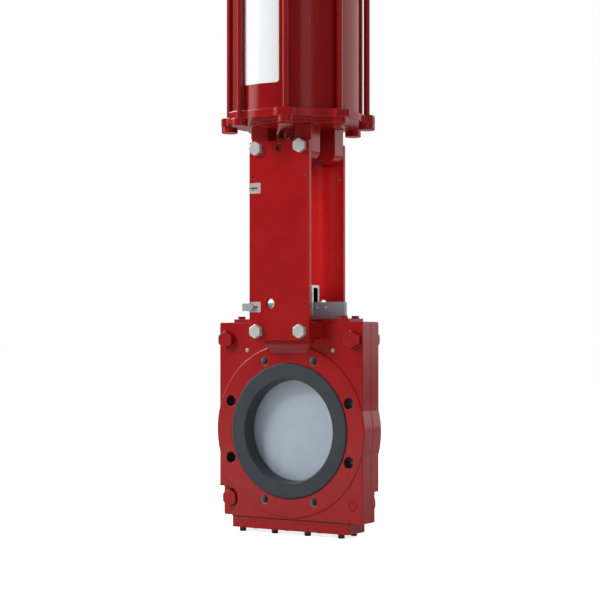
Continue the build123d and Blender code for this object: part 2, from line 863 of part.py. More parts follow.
def lobed_flange(z_from, height):
    """A round flange with a square-shouldered lobe at every tie rod, its upper edge rounded."""
    outline = Rot(0, 0, tie_angle) * Circle(cap_flange_r)
    lobe_length = tie_lobe_reach + tie_lobe_half
    lobe = Pos(tie_lobe_reach - lobe_length / 2, 0) * Rectangle(lobe_length, 2 * tie_lobe_half)
    for place in tie_rod_places():
        outline += place * lobe
    middle_r = (cap_flange_r + tie_circle_r + tie_lobe_reach) / 2
    roots = [v for v in outline.vertices() if math.hypot(v.X, v.Y) < middle_r]
    outline = fillet(roots, tie_boss_fillet)
    shoulder_r = tie_circle_r + tie_lobe_reach
    shoulders = [v for v in outline.vertices() if math.hypot(v.X, v.Y) > shoulder_r]
    outline = fillet(shoulders, tie_lobe_round)
    flange = extrude(Pos(0, 0, z_from) * outline, height)
    return fillet(flange.edges().group_by(Axis.Z)[-1], cap_edge_round)


def tie_bosses(flange_face):
    """The round bosses that hang below the lobes, their free edges rounded."""
    boss = bar_z(tie_boss_r, flange_face - tie_boss_drop, flange_face + overlap)
    boss = fillet(boss.edges().group_by(Axis.Z)[0], cap_edge_round)
    return [place * boss for place in tie_rod_places()]


def cap_hub(flange_face):
    """The hub: a short upright wall, then a shallow cone down to its foot."""
    profile = Polygon(
        (0, flange_face + overlap),
        (0, flange_face - cap_hub_t),
        (cap_hub_foot_r, flange_face - cap_hub_t),
        (cap_hub_r, flange_face - cap_hub_wall),
        (cap_hub_r, flange_face + overlap),
        align=None,
    )
    return revolve(Plane.XZ * profile, Axis.Z)


def cap_blank(flange_face):
    """What both caps share, built with the barrel above: lobes, bosses, hub, rim and spigot."""
    flange_top = flange_face + cap_flange_t
    seam = flange_top + cap_rim_height
    blank = lobed_flange(flange_face, cap_flange_t)
    blank += cap_hub(flange_face)
    blank += tie_bosses(flange_face)
    blank += bar_z(cap_rim_r, flange_top - overlap, seam)
    blank += bar_z(spigot_r, seam - overlap, seam + cap_spigot)
    blank += port_pad(flange_face, flange_top)
    blank -= spigot_groove(seam + cap_spigot / 2)
    return blank - air_port(flange_face + cap_flange_t / 2, seam + cap_spigot + overlap)


def air_port(axis_z, chamber_z):
    """The cutters of a port: a tapped mouth at the rear and a drilling into the cylinder."""
    mouth = cap_flange_r + port_pad_proud
    inner = mouth - port_depth
    cut = bar_y(port_core_d / 2, inner, mouth + overlap, 0, axis_z)
    return cut + bar_z(port_drill_d / 2, axis_z, chamber_z, 0, inner + port_drill_inset)


def port_pad(z_from, z_to):
    """The flat on a cap's rim that a port is cut in."""
    return block(-port_pad_half, port_pad_half, barrel_r, cap_flange_r + port_pad_proud, z_from, z_to)


def yoke_foot(side_x, side_y):
    """One foot of the cylinder: round below, its head shaped to the hub's cone."""
    centre = side_x * (yoke_bolt_x - foot_bolt_offset)
    low = upper_bolt_z - foot_below_bolt + foot_half_width
    shape = Pos(centre, low) * Circle(foot_half_width)
    shape += Pos(centre, (low + cap_foot) / 2) * Rectangle(2 * foot_half_width, cap_foot - low)
    y_near = side_y * (plate_inner - foot_depth)
    y_far = side_y * plate_inner
    foot = along_y(shape, min(y_near, y_far), max(y_near, y_far))
    foot = fillet(foot.edges().filter_by(Axis.Z), foot_edge_round) - cap_hub(cap_foot)
    tap_floor = -side_y * yoke_tap_floor()
    bolt_x = side_x * yoke_bolt_x
    return foot - bar_y(yoke_bolt_d / 2 + seat_gap, tap_floor, y_far + side_y * overlap, bolt_x, upper_bolt_z)


def spigot_groove(z):
    """The cutter of an O-ring groove in a cap's spigot."""
    half = seal_cord_d / 2 + play
    return ring_z(spigot_r + overlap, barrel_bore_r - seal_cord_d - 2 * play, z - half, z + half)


def lower_cap():
    """The lower end cap with its rod gland and tapped tie rod bosses."""
    spigot_top = seam_z + cap_spigot
    cap = cap_blank(cap_foot)
    cap += bar_z(gland_boss_r, gland_foot, hub_foot + overlap)
    cap -= bar_z(rod_d / 2 + hole_gap, gland_foot - overlap, spigot_top + overlap)
    cap -= bar_z(rod_d / 2 + wiper_wall, gland_foot - overlap, gland_foot + wiper_t)
    cap -= bar_z(bushing_r, seal_floor, spigot_top + overlap)
    tap = bar_z(tie_rod_d / 2 + seat_gap, cap_top - tie_rod_grip - overlap, cap_top + overlap)
    cap -= [place * tap for place in tie_rod_places()]
    return cap


def upper_cap():
    """The upper end cap: the same blank turned over, with a recess for the piston nut."""
    blank = cap_blank(0)
    seam = cap_flange_t + cap_rim_height
    blank -= bar_z(nut_recess_r, seam + cap_spigot - nut_recess_depth, seam + cap_spigot + overlap)
    bore = bar_z(tie_rod_d / 2 + hole_gap, -tie_boss_drop - overlap, seam + overlap)
    blank -= [place * bore for place in tie_rod_places()]
    return Pos(0, 0, barrel_top + seam) * Rot(0, 180, 0) * blank


lower_end_cap = lower_cap()
yoke_feet = group(yoke_foot(side_x, side_y) for side_x in (-1, 1) for side_y in (-1, 1))
upper_end_cap = upper_cap()
cylinder_barrel = ring_z(barrel_r, barrel_bore_r, seam_z, barrel_top)
seal_ring_r = barrel_bore_r - seal_cord_d / 2 - play
barrel_seals = group(
    Pos(0, 0, z) * Torus(seal_ring_r, seal_cord_d / 2)
    for z in (seam_z + cap_spigot / 2, barrel_top - cap_spigot / 2)
)
tie_rod_foot = cap_top - tie_rod_grip
tie_rod_top = boss_top + tie_washer_t + tie_nut_height + tie_rod_tail
tie_rod = bar_z(tie_rod_d / 2, tie_rod_foot, tie_rod_top)
tie_rod = chamfer(tie_rod.edges().group_by(Axis.Z)[-1], bolt_end_chamfer)
tie_washer = Pos(0, 0, boss_top) * ring_z(tie_washer_r, tie_rod_d / 2 + hole_gap, 0, tie_washer_t)
tie_nut = Pos(0, 0, boss_top + tie_washer_t) * hex_nut(tie_rod_d, tie_nut_flats, tie_nut_height)
tie_rods = group(place * tie_rod for place in tie_rod_places())
tie_rod_washers = group(place * tie_washer for place in tie_rod_places())
tie_rod_nuts = group(place * tie_nut for place in tie_rod_places())

rod_wiper = ring_z(rod_d / 2 + wiper_wall - seat_gap, rod_d / 2 + slide_gap, gland_foot, gland_foot + wiper_t)
rod_seal = ring_z(bushing_r - seat_gap, rod_d / 2 + slide_gap, seal_floor, seal_floor + rod_seal_t)
bushing_foot = seal_floor + rod_seal_t
rod_bushing = ring_z(bushing_r - seat_gap, rod_d / 2 + slide_gap, bushing_foot, bushing_foot + bushing_t)


def barrel_label():
    """A thin curved label on the front of the barrel."""
    skin = ring_z(barrel_r + seat_gap + label_t, barrel_r + seat_gap, label_foot, label_foot + label_height)
    window = RectangleRounded(label_width, label_height, label_round)
    window = Pos(label_offset, label_foot + label_height / 2) * window
    return skin & along_y(window, -barrel_r - overlap, 0)


name_label = barrel_label()


# Piston and rod

def piston_rod_piece():
    """The rod: a thread in the clevis, wrench flats, and a tail through the piston."""
    thread_foot = gate_top + clevis_block_clear + overlap
    shoulder = clevis_top + rod_nut_height + rod_neck
    tail_top = piston_top + piston_nut_height + rod_tail_end
    rod = bar_z(rod_d / 2, shoulder, piston_foot)
    rod = chamfer(rod.edges().group_by(Axis.Z)[0], rod_end_chamfer)
    flats_from = shoulder + rod_neck
    flats_to = flats_from + rod_flat_length
    for side in (-1, 1):
        rod -= block(
            -rod_d, rod_d, side * rod_flat_width / 2, side * rod_d, flats_from, flats_to
        )
    thread = bar_z(rod_thread_d / 2, thread_foot, shoulder + overlap)
    thread = chamfer(thread.edges().group_by(Axis.Z)[0], rod_end_chamfer)
    return rod + thread + bar_z(rod_tail_d / 2, piston_foot - overlap, tail_top)


def piston_piece():
    """The piston, grooved for a seal above and a guide ring below."""
    disc = bar_z(piston_r, piston_foot, piston_top)
    disc = chamfer(disc.edges().filter_by(GeomType.CIRCLE), rod_end_chamfer)
    disc -= bar_z(rod_tail_d / 2 + seat_gap, piston_foot - overlap, piston_top + overlap)
    seal_cut = ring_z(piston_r + overlap, piston_r - piston_seal_depth, *piston_seal_span())
    guide_cut = ring_z(piston_r + overlap, piston_r - piston_guide_depth, *piston_guide_span())
    return disc - seal_cut - guide_cut


def piston_seal_span():
    """Lowest and highest place of the piston seal."""
    middle = piston_foot + piston_seal_above_foot
    return middle - piston_seal_t / 2, middle + piston_seal_t / 2


def piston_guide_span():
    """Lowest and highest place of the piston's guide ring."""
    middle = piston_foot + piston_guide_above_foot
    return middle - piston_guide_t / 2, middle + piston_guide_t / 2


ring_outer = barrel_bore_r - slide_gap
piston_rod = piston_rod_piece()
piston = piston_piece()
piston_seal = ring_z(ring_outer, piston_r - piston_seal_depth + seat_gap, *piston_seal_span())
piston_guide_ring = ring_z(ring_outer, piston_r - piston_guide_depth + seat_gap, *piston_guide_span())
piston_nut = Pos(0, 0, piston_top) * hex_nut(rod_tail_d, piston_nut_flats, piston_nut_height)
rod_lock_nut = Pos(0, 0, clevis_top) * hex_nut(rod_thread_d, rod_nut_flats, rod_nut_height)


# One file per piece

pieces = {
    "front_body_half": front_body_half,
    "rear_body_half": rear_body_half,
    "upper_body_bolts": upper_body_bolts,
    "upper_body_nuts": upper_body_nuts,
    "lower_body_bolts": lower_body_bolts,
    "port_plugs": port_plugs,
    "front_sleeve": front_sleeve,
    "rear_sleeve": rear_sleeve,
    "front_sleeve_ring": front_sleeve_ring,
    "rear_sleeve_ring": rear_sleeve_ring,
    "gland_packing": gland_packing,
    "gland_plate": gland_plate,
    "gland_screws": gland_screws,
    "bottom_gasket": bottom_gasket,
    "bottom_cover": bottom_cover,
    "bottom_screws": bottom_screws,
    "gate": gate,
    "gate_clevis": gate_clevis,
    "clevis_spacers": clevis_spacers,
    "clevis_bolts": clevis_bolts,
    "clevis_nuts": clevis_nuts,
    "pointer_bracket": pointer_bracket,
    "pointer_screws": pointer_screws,
    "front_yoke_plate": front_yoke_plate,
    "rear_yoke_plate": rear_yoke_plate,
    "yoke_lower_bolts": yoke_lower_bolts,
    "yoke_upper_bolts": yoke_upper_bolts,
    "position_stickers": position_stickers,
    "lower_end_cap": lower_end_cap,
    "yoke_feet": yoke_feet,
    "rod_wiper": rod_wiper,
    "rod_seal": rod_seal,
    "rod_bushing": rod_bushing,
    "cylinder_barrel": cylinder_barrel,
    "barrel_seals": barrel_seals,
    "upper_end_cap": upper_end_cap,
    "tie_rods": tie_rods,
    "tie_rod_washers": tie_rod_washers,
    "tie_rod_nuts": tie_rod_nuts,
    "name_label": name_label,
    "piston_rod": piston_rod,
    "rod_lock_nut": rod_lock_nut,
    "piston": piston,
    "piston_seal": piston_seal,
    "piston_guide_ring": piston_guide_ring,
    "piston_nut": piston_nut,
}

os.makedirs("parts", exist_ok=True)
for name, piece in pieces.items():
    export_step(piece, f"parts/{name}.step")
print(f"stroke {stroke:.1f}, {len(pieces)} nodes")
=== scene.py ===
"""Knife gate valve: finishes, cut threads, studio and view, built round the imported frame.

The frame is in metres, +Z along the gate's travel, the pipeline along Y, the front facing -Y.
Sizes that are named in millimetres end in _mm and are turned to metres where they are used.
"""

import logging
import math
from dataclasses import dataclass
from enum import Enum
from typing import Optional, Union

import bpy
from mathutils import Matrix, Vector


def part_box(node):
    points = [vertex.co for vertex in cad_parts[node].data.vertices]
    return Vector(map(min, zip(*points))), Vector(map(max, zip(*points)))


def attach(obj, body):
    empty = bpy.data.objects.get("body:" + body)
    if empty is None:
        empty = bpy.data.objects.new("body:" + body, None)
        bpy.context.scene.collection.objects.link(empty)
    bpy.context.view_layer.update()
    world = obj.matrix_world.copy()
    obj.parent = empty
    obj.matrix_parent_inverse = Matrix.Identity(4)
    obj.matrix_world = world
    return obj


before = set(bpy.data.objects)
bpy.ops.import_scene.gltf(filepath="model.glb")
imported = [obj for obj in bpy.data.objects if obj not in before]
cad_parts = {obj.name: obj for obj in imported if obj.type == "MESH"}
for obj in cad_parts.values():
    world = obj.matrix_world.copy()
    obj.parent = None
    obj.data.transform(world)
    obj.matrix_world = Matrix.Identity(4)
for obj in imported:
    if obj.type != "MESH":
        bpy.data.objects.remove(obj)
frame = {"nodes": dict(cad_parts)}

MM = 0.001
Socket = bpy.types.NodeSocket
Tree = bpy.types.NodeTree

# Blender's noise seldom leaves the middle of 0 to 1, so that part is spread over the whole.
NOISE_SPREAD = {"From Min": 0.3, "From Max": 0.7}
PATCH_NOISE = {"Detail": 4.0, "Roughness": 0.55}
SPECK_NOISE = {"Detail": 3.0, "Roughness": 0.6}
BRAID_RANDOMNESS = 0.25

# An edge shows where the rounded normal leaves the flat one; its painted highlight is mixed in at
# four fifths at most.
EDGE_SPREAD = {"From Min": 0.99, "From Max": 0.8, "To Max": 0.8}
EDGE_SAMPLES = 6

# A triangle whose corners lie at 1 from its centre: from a side to the far corner, and its side.
TRIANGLE_DEPTH = 1.5
TRIANGLE_SIDE = 2 * math.sin(math.radians(120.0))
SMOOTH_DEG = 35.0

log = logging.getLogger("knife_gate_valve")


# Colours and nodes

def linear(srgb_hex: str) -> tuple[float, float, float, float]:
    """Turns an sRGB hex colour to the linear values that Blender's sockets take.

    Args:
        srgb_hex: six hex digits after a #.

    Returns:
        Red, green, blue and an alpha of 1.
    """
    digits = srgb_hex.lstrip("#")
    channels = [int(digits[place:place + 2], 16) / 255 for place in (0, 2, 4)]
    lin = [c / 12.92 if c <= 0.04045 else ((c + 0.055) / 1.055) ** 2.4 for c in channels]
    return (lin[0], lin[1], lin[2], 1.0)


def per_metre(size_mm: float) -> float:
    """The scale that a texture on coordinates in metres needs for features of a real size."""
    return 1.0 / (size_mm * MM)


def add_node(tree: Tree, kind: str, settings: Optional[dict[Union[str, int], object]] = None,
             links: Optional[dict[Union[str, int], Socket]] = None) -> bpy.types.Node:
    """Adds a node, sets its properties and input values, and links its inputs.

    Args:
        tree: the node tree that gets the node.
        kind: Blender's node type, such as ShaderNodeTexNoise.
        settings: property names, or input names or numbers, with their values.
        links: input names or numbers with the output socket that feeds each.

    Returns:
        The new node.
    """
    node = tree.nodes.new(kind)
    for name, value in (settings or {}).items():
        if isinstance(name, str) and name not in node.inputs and hasattr(node, name):
            setattr(node, name, value)
        else:
            node.inputs[name].default_value = value
    for name, socket in (links or {}).items():
        tree.links.new(socket, node.inputs[name])
    return node


# Finishes

class Grain(Enum):
    """How the fine relief of a surface runs: how its pattern is scaled along X, Y and Z."""

    EVEN = (1.0, 1.0, 1.0)
    ROLLED = (1.0, 1.0, 0.04)
    TURNED = (0.15, 0.15, 1.0)
    BRAIDED = (0.8, 0.8, 1.25)


@dataclass(frozen=True)
class Finish:
    """A real surface: its colours, gloss and relief, at real sizes, with a painted highlight on its
    edges if it has one.
    """

    name: str
    shade: str
    lit: str
    roughness: float
    gloss_play: float = 0.04
    metallic: float = 0.0
    ior: float = 1.5
    specular: float = 0.5
    coat: float = 0.0
    patch_mm: float = 30.0
    speck_mm: float = 2.0
    relief_mm: float = 0.02
    grain: Grain = Grain.EVEN
    edge_mm: float = 0.0
    # the lighter colour of a painted highlight along the edges; none if empty
    edge_highlight: str = ""

    def material(self) -> bpy.types.Material:
        """Gives the finish as a material, made once and shared by all that wear it."""
        made = bpy.data.materials.get(self.name)
        return made if made else self.build()

    def build(self) -> bpy.types.Material:
        """Makes the material.

        Returns:
            The material, ready to assign.
        """
        material = bpy.data.materials.new(self.name)
        material.use_nodes = True
        tree = material.node_tree
        tree.nodes.clear()
        place = add_node(tree, "ShaderNodeTexCoord").outputs["Object"]
        patches = add_node(
            tree, "ShaderNodeTexNoise",
            {"Scale": per_metre(self.patch_mm), **PATCH_NOISE},
            {"Vector": place},
        ).outputs["Fac"]
        spread = add_node(tree, "ShaderNodeMapRange", NOISE_SPREAD, {"Value": patches})
        colour = add_node(
            tree, "ShaderNodeMix",
            {"data_type": "RGBA", 6: linear(self.shade), 7: linear(self.lit)},
            {0: spread.outputs["Result"]},
        ).outputs[2]
        gloss = add_node(
            tree, "ShaderNodeMapRange",
            {
                **NOISE_SPREAD,
                "To Min": self.roughness - self.gloss_play,
                "To Max": self.roughness + self.gloss_play,
            },
            {"Value": patches},
        )
        bump = add_node(
            tree, "ShaderNodeBump", {"Distance": self.relief_mm * MM},
            {"Height": self.relief(tree, place)},
        )
        if self.edge_mm:
            rounded = add_node(
                tree, "ShaderNodeBevel", {"samples": EDGE_SAMPLES, "Radius": self.edge_mm * MM}
            ).outputs[0]
            tree.links.new(rounded, bump.inputs["Normal"])
            # painted highlight: the edges get a lighter colour
            if self.edge_highlight:
                colour = self.painted_edge_highlight(tree, rounded, colour)
        settings = {
            "Metallic": self.metallic,
            "Coat Weight": self.coat,
            "Specular IOR Level": self.specular,
        }
        if not self.metallic:
            settings["IOR"] = self.ior
        shader = add_node(
            tree, "ShaderNodeBsdfPrincipled", settings,
            {
                "Base Color": self.marked(tree, place, colour),
                "Roughness": gloss.outputs["Result"],
                "Normal": bump.outputs["Normal"],
            },
        )
        add_node(tree, "ShaderNodeOutputMaterial", links={"Surface": shader.outputs["BSDF"]})
        return material

    def relief(self, tree: Tree, place: Socket) -> Socket:
        """Makes the height field of the surface.

        Args:
            tree: the material's tree.
            place: object coordinates in metres.

        Returns:
            A height from 0 to 1.
        """
        stretched = add_node(
            tree, "ShaderNodeMapping", {"Scale": self.grain.value}, {"Vector": place}
        ).outputs["Vector"]
        if self.grain is Grain.BRAIDED:
            return add_node(
                tree, "ShaderNodeTexVoronoi",
                {"Scale": per_metre(self.speck_mm), "Randomness": BRAID_RANDOMNESS},
                {"Vector": stretched},
            ).outputs["Distance"]
        return add_node(
            tree, "ShaderNodeTexNoise",
            {"Scale": per_metre(self.speck_mm), **SPECK_NOISE},
            {"Vector": stretched},
        ).outputs["Fac"]

    def painted_edge_highlight(self, tree: Tree, rounded: Socket, colour: Socket) -> Socket:
        """Paints a highlight on the edges: a lighter colour where the rounded normal leaves the
        flat one.

        Args:
            tree: the material's tree.
            rounded: the normal of the rounded edge.
            colour: the colour away from the edges.

        Returns:
            The colour with the painted highlight on its edges.
        """
        flat = add_node(tree, "ShaderNodeNewGeometry").outputs["Normal"]
        agree = add_node(
            tree, "ShaderNodeVectorMath", {"operation": "DOT_PRODUCT"}, {0: rounded, 1: flat}
        ).outputs["Value"]
        edge = add_node(
            tree, "ShaderNodeMapRange", EDGE_SPREAD, {"Value": agree}
        ).outputs["Result"]
        return add_node(
            tree, "ShaderNodeMix",
            {"data_type": "RGBA", 7: linear(self.edge_highlight)}, {0: edge, 6: colour},
        ).outputs[2]

    def marked(self, tree: Tree, place: Socket, colour: Socket) -> Socket:
        """Gives the colour back as it is: a finish with a pattern changes it here."""
        return colour


@dataclass(frozen=True)
class BareOrShadedHole:
    """A hole along Y, alike in all four quarters: bare iron drilled after painting, or painted
    shade.
    """

    x_mm: float
    z_mm: float
    radius_mm: float
    # the wall's colour: bare iron, or near-black painted shade
    metal_or_painted_shade: str


@dataclass(frozen=True)
class DrilledEnamel(Finish):
    """Enamel whose drilled holes show bare iron or painted shade below an outer face."""

    holes: tuple[BareOrShadedHole, ...] = ()
    face_y_mm: float = 0.0

    def marked(self, tree: Tree, place: Socket, colour: Socket) -> Socket:
        """Colours the walls of the holes with bare iron, or with a near-black painted shade.

        Args:
            tree: the material's tree.
            place: object coordinates in metres.
            colour: the paint's colour.

        Returns:
            The colour with the bare and the painted-shade places in it.
        """
        quarter = add_node(
            tree, "ShaderNodeVectorMath", {"operation": "ABSOLUTE"}, {0: place}
        ).outputs[0]
        parts = add_node(tree, "ShaderNodeSeparateXYZ", links={"Vector": quarter}).outputs
        below = add_node(
            tree, "ShaderNodeMath",
            {"operation": "LESS_THAN", 1: self.face_y_mm * MM}, {0: parts["Y"]},
        ).outputs[0]
        flat = add_node(
            tree, "ShaderNodeCombineXYZ", links={"X": parts["X"], "Z": parts["Z"]}
        ).outputs[0]
        for hole in self.holes:
            away = add_node(
                tree, "ShaderNodeVectorMath",
                {"operation": "DISTANCE", 1: (hole.x_mm * MM, 0.0, hole.z_mm * MM)}, {0: flat},
            ).outputs["Value"]
            inside = add_node(
                tree, "ShaderNodeMath",
                {"operation": "LESS_THAN", 1: hole.radius_mm * MM}, {0: away},
            ).outputs[0]
            wall = add_node(
                tree, "ShaderNodeMath", {"operation": "MULTIPLY"}, {0: inside, 1: below}
            ).outputs[0]
            # bare iron, or painted shade, on the hole's wall
            colour = add_node(
                tree, "ShaderNodeMix",
                {"data_type": "RGBA", 7: linear(hole.metal_or_painted_shade)}, {0: wall, 6: colour},
            ).outputs[2]
        return colour


@dataclass(frozen=True)
class Tick:
    """A printed line of the stickers: its places along X and Z, and half its thickness."""

    left_mm: float
    right_mm: float
    height_mm: float
    half_mm: float


@dataclass(frozen=True)
class TickedFilm(Finish):
    """A printed film whose ticks show where the pointer stands at each end of its travel."""

    ink: str = "#2A2325"
    ticks: tuple[Tick, ...] = ()

    def marked(self, tree: Tree, place: Socket, colour: Socket) -> Socket:
        """Prints the ticks.

        Args:
            tree: the material's tree.
            place: object coordinates in metres.
            colour: the film's colour.

        Returns:
            The colour with the ticks on it.
        """
        parts = add_node(tree, "ShaderNodeSeparateXYZ", links={"Vector": place}).outputs
        for tick in self.ticks:
            middle = (tick.left_mm + tick.right_mm) / 2
            half_length = (tick.right_mm - tick.left_mm) / 2
            on_line = add_node(
                tree, "ShaderNodeMath",
                {"operation": "COMPARE", 1: middle * MM, 2: half_length * MM}, {0: parts["X"]},
            ).outputs[0]
            on_height = add_node(
                tree, "ShaderNodeMath",
                {"operation": "COMPARE", 1: tick.height_mm * MM, 2: tick.half_mm * MM},
                {0: parts["Z"]},
            ).outputs[0]
            inked = add_node(
                tree, "ShaderNodeMath", {"operation": "MULTIPLY"}, {0: on_line, 1: on_height}
            ).outputs[0]
            colour = add_node(
                tree, "ShaderNodeMix",
                {"data_type": "RGBA", 7: linear(self.ink)}, {0: inked, 6: colour},
            ).outputs[2]
        return colour


@dataclass(frozen=True)
class PlatedChannelWithPaintedShade(Finish):
    """Plating on a channel along X whose inside is painted black: painted shade, where little light
    reaches.
    """

    half_width_mm: float = 0.0
    web_z_mm: float = 0.0
    # the near-black colour of the painted shade between the walls
    inside: str = "#150F11"

    def marked(self, tree: Tree, place: Socket, colour: Socket) -> Socket:
        """Paints shade: blackens what lies between the channel's walls, below its web.

        Args:
            tree: the material's tree.
            place: object coordinates in metres.
            colour: the plating's colour.

        Returns:
            The colour with the painted shade inside.
        """
        parts = add_node(tree, "ShaderNodeSeparateXYZ", links={"Vector": place}).outputs
        between = add_node(
            tree, "ShaderNodeMath",
            {"operation": "COMPARE", 1: 0.0, 2: self.half_width_mm * MM}, {0: parts["Y"]},
        ).outputs[0]
        below = add_node(
            tree, "ShaderNodeMath",
            {"operation": "LESS_THAN", 1: self.web_z_mm * MM}, {0: parts["Z"]},
        ).outputs[0]
        within = add_node(
            tree, "ShaderNodeMath", {"operation": "MULTIPLY"}, {0: between, 1: below}
        ).outputs[0]
        # painted shade: the inside of the channel turns near-black
        return add_node(
            tree, "ShaderNodeMix",
            {"data_type": "RGBA", 7: linear(self.inside)}, {0: within, 6: colour},
        ).outputs[2]


# Gloss enamel sprayed over the iron castings: a faint swell from the sand stays under the coat. Its
# lighter edges are a painted highlight.
CASTING_ENAMEL = DrilledEnamel(
    name="gloss_enamel_on_cast_iron", shade="#9C0F12", lit="#A41214", roughness=0.19, specular=0.46,
    patch_mm=60.0, speck_mm=3.2, relief_mm=0.05, edge_mm=2.2, edge_highlight="#B01B1B", face_y_mm=33.4,
    # the tapped holes show bare iron; the near-black wall of the through holes is painted shade
    holes=(BareOrShadedHole(56.45, 136.27, 9.3, "#A2A5A8"), BareOrShadedHole(136.27, 56.45, 11.5, "#2A2424")),
)

# The same enamel on rolled plate: flatter, with a fine orange peel, and lighter edges as a painted
# highlight.
PLATE_ENAMEL = DrilledEnamel(
    name="gloss_enamel_on_rolled_plate", shade="#A01012", lit="#A81315", roughness=0.2,
    specular=0.42, patch_mm=70.0, speck_mm=2.2, relief_mm=0.02, edge_mm=1.2,
    edge_highlight="#B21D1C", face_y_mm=68.4,
    holes=(
        # the near-black walls of these holes are painted shade
        BareOrShadedHole(0.0, 550.7, 7.4, "#241B1B"),
        BareOrShadedHole(58.8, 245.5, 2.8, "#1E1717"),
        BareOrShadedHole(58.8, 495.9, 2.8, "#1E1717"),
    ),
)

# Enamel brushed over fasteners, gland and cover after fitting: thicker, softer edges, made lighter
# as a painted highlight.
FASTENER_ENAMEL = Finish(
    name="gloss_enamel_on_steel_fasteners", shade="#990F12", lit="#A21114", roughness=0.26,
    specular=0.42, patch_mm=18.0, speck_mm=1.8, relief_mm=0.03, edge_mm=1.0, edge_highlight="#B01B1B",
)

# Enamel on the drawn tube: the smoothest ground, so the studio's panels mirror in it.
TUBE_ENAMEL = Finish(
    name="gloss_enamel_on_drawn_tube", shade="#96090E", lit="#9C0B10", roughness=0.14,
    patch_mm=80.0, speck_mm=4.0, relief_mm=0.015, gloss_play=0.02,
)

# Natural rubber from a steel mould: matt and even, with a trace of bloom, and lighter edges as a
# painted highlight.
MOULDED_RUBBER = Finish(
    name="moulded_natural_rubber", shade="#32373C", lit="#393E44", roughness=0.5, specular=0.4,
    ior=1.52, patch_mm=25.0, speck_mm=0.9, relief_mm=0.015, edge_mm=1.0, edge_highlight="#59626A",
)

# Cold-rolled stainless plate: a fine upright grain that spreads the reflections.
ROLLED_STAINLESS = Finish(
    name="cold_rolled_stainless_plate", shade="#B4C1CE", lit="#C0CDDA", roughness=0.42,
    metallic=0.4, patch_mm=70.0, speck_mm=1.1, relief_mm=0.006, grain=Grain.ROLLED, edge_mm=0.6,
)

# Bright zinc plating with clear passivation: cool silver with soft highlights, and near-white edges
# as a painted highlight.
ZINC_PLATE = Finish(
    name="zinc_plated_steel", shade="#D0D5D3", lit="#DADFDD", roughness=0.3, metallic=0.5,
    patch_mm=22.0, speck_mm=3.0, relief_mm=0.002, edge_mm=0.9, edge_highlight="#F2F5F4",
)

# The same plating on the folded clevis, lighter than on the bolts as a painted highlight, with
# painted shade inside.
CLEVIS_PLATE = PlatedChannelWithPaintedShade(
    # the plating is lighter than on the bolts: a painted highlight
    name="zinc_plated_folded_steel", shade="#DCE0DF", lit="#E6EAE9", roughness=0.3, metallic=0.3,
    patch_mm=22.0, speck_mm=3.0, relief_mm=0.002, half_width_mm=8.05, web_z_mm=280.05,
)

# Black oxide on socket screws: almost black, an oily satin.
BLACK_OXIDE = Finish(
    name="black_oxide_steel", shade="#121212", lit="#1B1A1B", roughness=0.36,
    patch_mm=5.0, speck_mm=0.9, relief_mm=0.01, grain=Grain.TURNED, edge_mm=0.4,
)

# Square braid of synthetic fibre soaked in grease.
BRAIDED_PACKING = Finish(
    name="braided_fibre_packing", shade="#3A362E", lit="#5C564A", roughness=0.75, patch_mm=6.0,
    speck_mm=2.2, relief_mm=0.5, grain=Grain.BRAIDED,
)

# Calendered fibre sheet cut to shape for the cover joint.
GASKET_SHEET = Finish(
    name="calendered_gasket_sheet", shade="#22211F", lit="#2E2C2A", roughness=0.8, patch_mm=8.0,
    speck_mm=0.7, relief_mm=0.03,
)

# Mild steel bar as it leaves the rolls: dull grey scale.
ROLLED_STEEL = Finish(
    name="hot_rolled_steel", shade="#6E7073", lit="#86888A", roughness=0.45, metallic=0.8,
    patch_mm=14.0, speck_mm=0.9, relief_mm=0.02, grain=Grain.ROLLED,
)

# Iron left bright by the tap that cut the thread.
CUT_IRON = Finish(
    name="freshly_tapped_iron", shade="#9A9DA0", lit="#B4B7BA", roughness=0.35, metallic=0.5,
    patch_mm=4.0, speck_mm=0.5, relief_mm=0.004,
)

# Polyethylene plug from a mould, beige with a soft gloss.
MOULDED_PLUG = Finish(
    name="moulded_polyethylene", shade="#D0A496", lit="#DAB0A2", roughness=0.35, patch_mm=5.0,
    speck_mm=0.8, relief_mm=0.01,
)

# Stainless strip bent in a press brake, tumbled to a satin.
BENT_STAINLESS = Finish(
    name="tumbled_stainless_strip", shade="#AAB3AF", lit="#BCC5C1", roughness=0.34, metallic=0.6,
    patch_mm=12.0, speck_mm=0.8, relief_mm=0.006, edge_mm=0.3,
)

# Hard chrome ground and polished on the rod: near a mirror, with faint grinding rings.
HARD_CHROME = Finish(
    name="ground_hard_chrome", shade="#C9CCD1", lit="#D6D9DD", roughness=0.12, metallic=1.0,
    patch_mm=40.0, speck_mm=0.5, relief_mm=0.002, grain=Grain.TURNED, gloss_play=0.02,
)

# Sintered bronze bushing, turned inside and out.
TURNED_BRONZE = Finish(
    name="turned_sintered_bronze", shade="#94713A", lit="#A98449", roughness=0.38, metallic=1.0,
    patch_mm=8.0, speck_mm=0.6, relief_mm=0.01, grain=Grain.TURNED,
)

# Nitrile rubber of the seals: black with a low gloss.
SEAL_RUBBER = Finish(
    name="moulded_nitrile_rubber", shade="#1B1B1C", lit="#252526", roughness=0.42, patch_mm=8.0,
    speck_mm=0.6, relief_mm=0.01,
)

# Aluminium bar turned to the piston: fine rings from the tool.
TURNED_ALUMINIUM = Finish(
    name="turned_aluminium", shade="#B9BBBE", lit="#C9CBCE", roughness=0.3, metallic=1.0,
    patch_mm=30.0, speck_mm=0.7, relief_mm=0.01, grain=Grain.TURNED, edge_mm=0.4,
)

